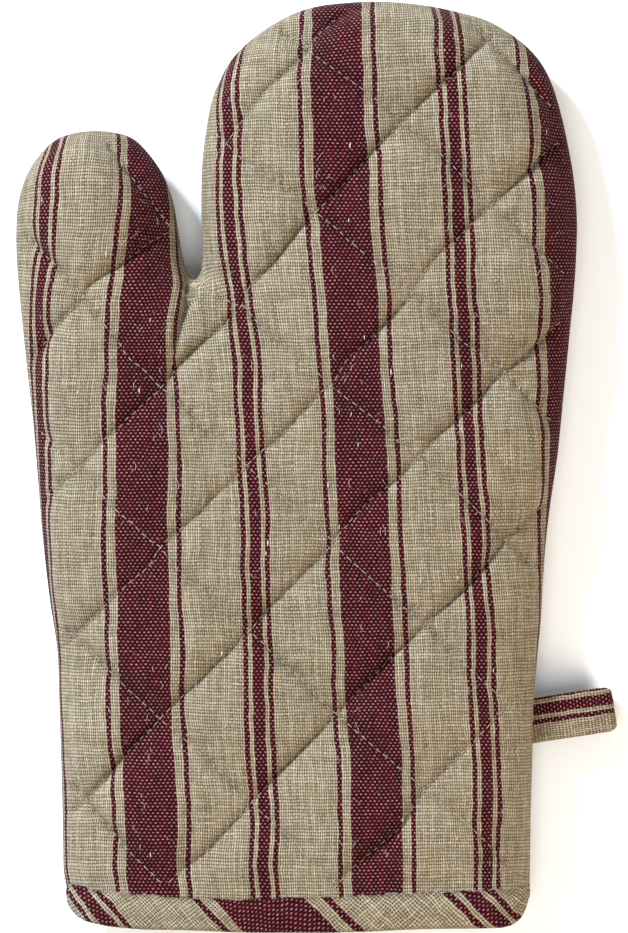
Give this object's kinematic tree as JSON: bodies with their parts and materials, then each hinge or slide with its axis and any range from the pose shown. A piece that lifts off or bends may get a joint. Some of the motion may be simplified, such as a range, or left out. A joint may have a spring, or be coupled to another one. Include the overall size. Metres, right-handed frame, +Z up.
{
  "type": "oven mitt",
  "caption": "Quilted cotton oven mitt with a bound cuff and a hanging loop, lying flat, open inside for a hand; thumb and fingers fold up over the palm.",
  "frame": {"origin": "centre of the footprint on the table, at table height", "axes": "+Y along the hand towards the fingertips, +X towards the hanging loop, +Z up out of the front panel"},
  "size_m": [0.1966, 0.306, 0.0343],
  "materials": {
    "outer_cloth": "coarse plain-weave homespun cotton, undyed ecru with burgundy stripes along the hand",
    "wadding": "needled cotton batting, matt and fleecy",
    "lining": "plain-weave undyed cotton calico",
    "sewing_thread": "three-ply cotton sewing thread, cream",
    "bias_binding": "bias-cut strip of the striped homespun cotton, folded over the raw edge",
    "tape": "folded and stitched strip of the striped homespun cotton"
  },
  "bodies": {
    "palm": {"outer_front_palm": "outer_cloth", "outer_back_palm": "outer_cloth", "wadding_front_palm": "wadding", "wadding_back_palm": "wadding", "lining_front_palm": "lining", "lining_back_palm": "lining", "seam_thread_palm_right": "sewing_thread", "seam_thread_palm_left": "sewing_thread", "seam_thread_palm_crotch": "sewing_thread", "quilting_thread_front_palm": "sewing_thread", "quilting_thread_back_palm": "sewing_thread", "cuff_binding": "bias_binding"},
    "thumb": {"outer_front_thumb": "outer_cloth", "outer_back_thumb": "outer_cloth", "wadding_front_thumb": "wadding", "wadding_back_thumb": "wadding", "lining_front_thumb": "lining", "lining_back_thumb": "lining", "seam_thread_thumb": "sewing_thread"},
    "fingers": {"outer_front_fingers": "outer_cloth", "outer_back_fingers": "outer_cloth", "wadding_front_fingers": "wadding", "wadding_back_fingers": "wadding", "lining_front_fingers": "lining", "lining_back_fingers": "lining", "seam_thread_fingers": "sewing_thread", "quilting_thread_front_fingers": "sewing_thread", "quilting_thread_back_fingers": "sewing_thread"},
    "loop": {"hanging_loop": "tape"}
  },
  "joints": [
    {"name": "thumb_fold", "type": "hinge", "parent": "palm", "child": "thumb", "pos_m": [-0.0543, 0.0758, 0.031], "axis": [0.6863, 0.7273, 0], "range_deg": [0, 50]},
    {"name": "finger_fold", "type": "hinge", "parent": "palm", "child": "fingers", "pos_m": [0.022, 0.0841, 0.033], "axis": [1, 0, 0], "range_deg": [0, 60]},
    {"name": "loop_swing", "type": "hinge", "parent": "palm", "child": "loop", "pos_m": [0.073, -0.0835, 0.012], "axis": [0, -1, 0], "range_deg": [-2, 90], "stiffness_Nm_per_rad": 0.003}
  ]
}
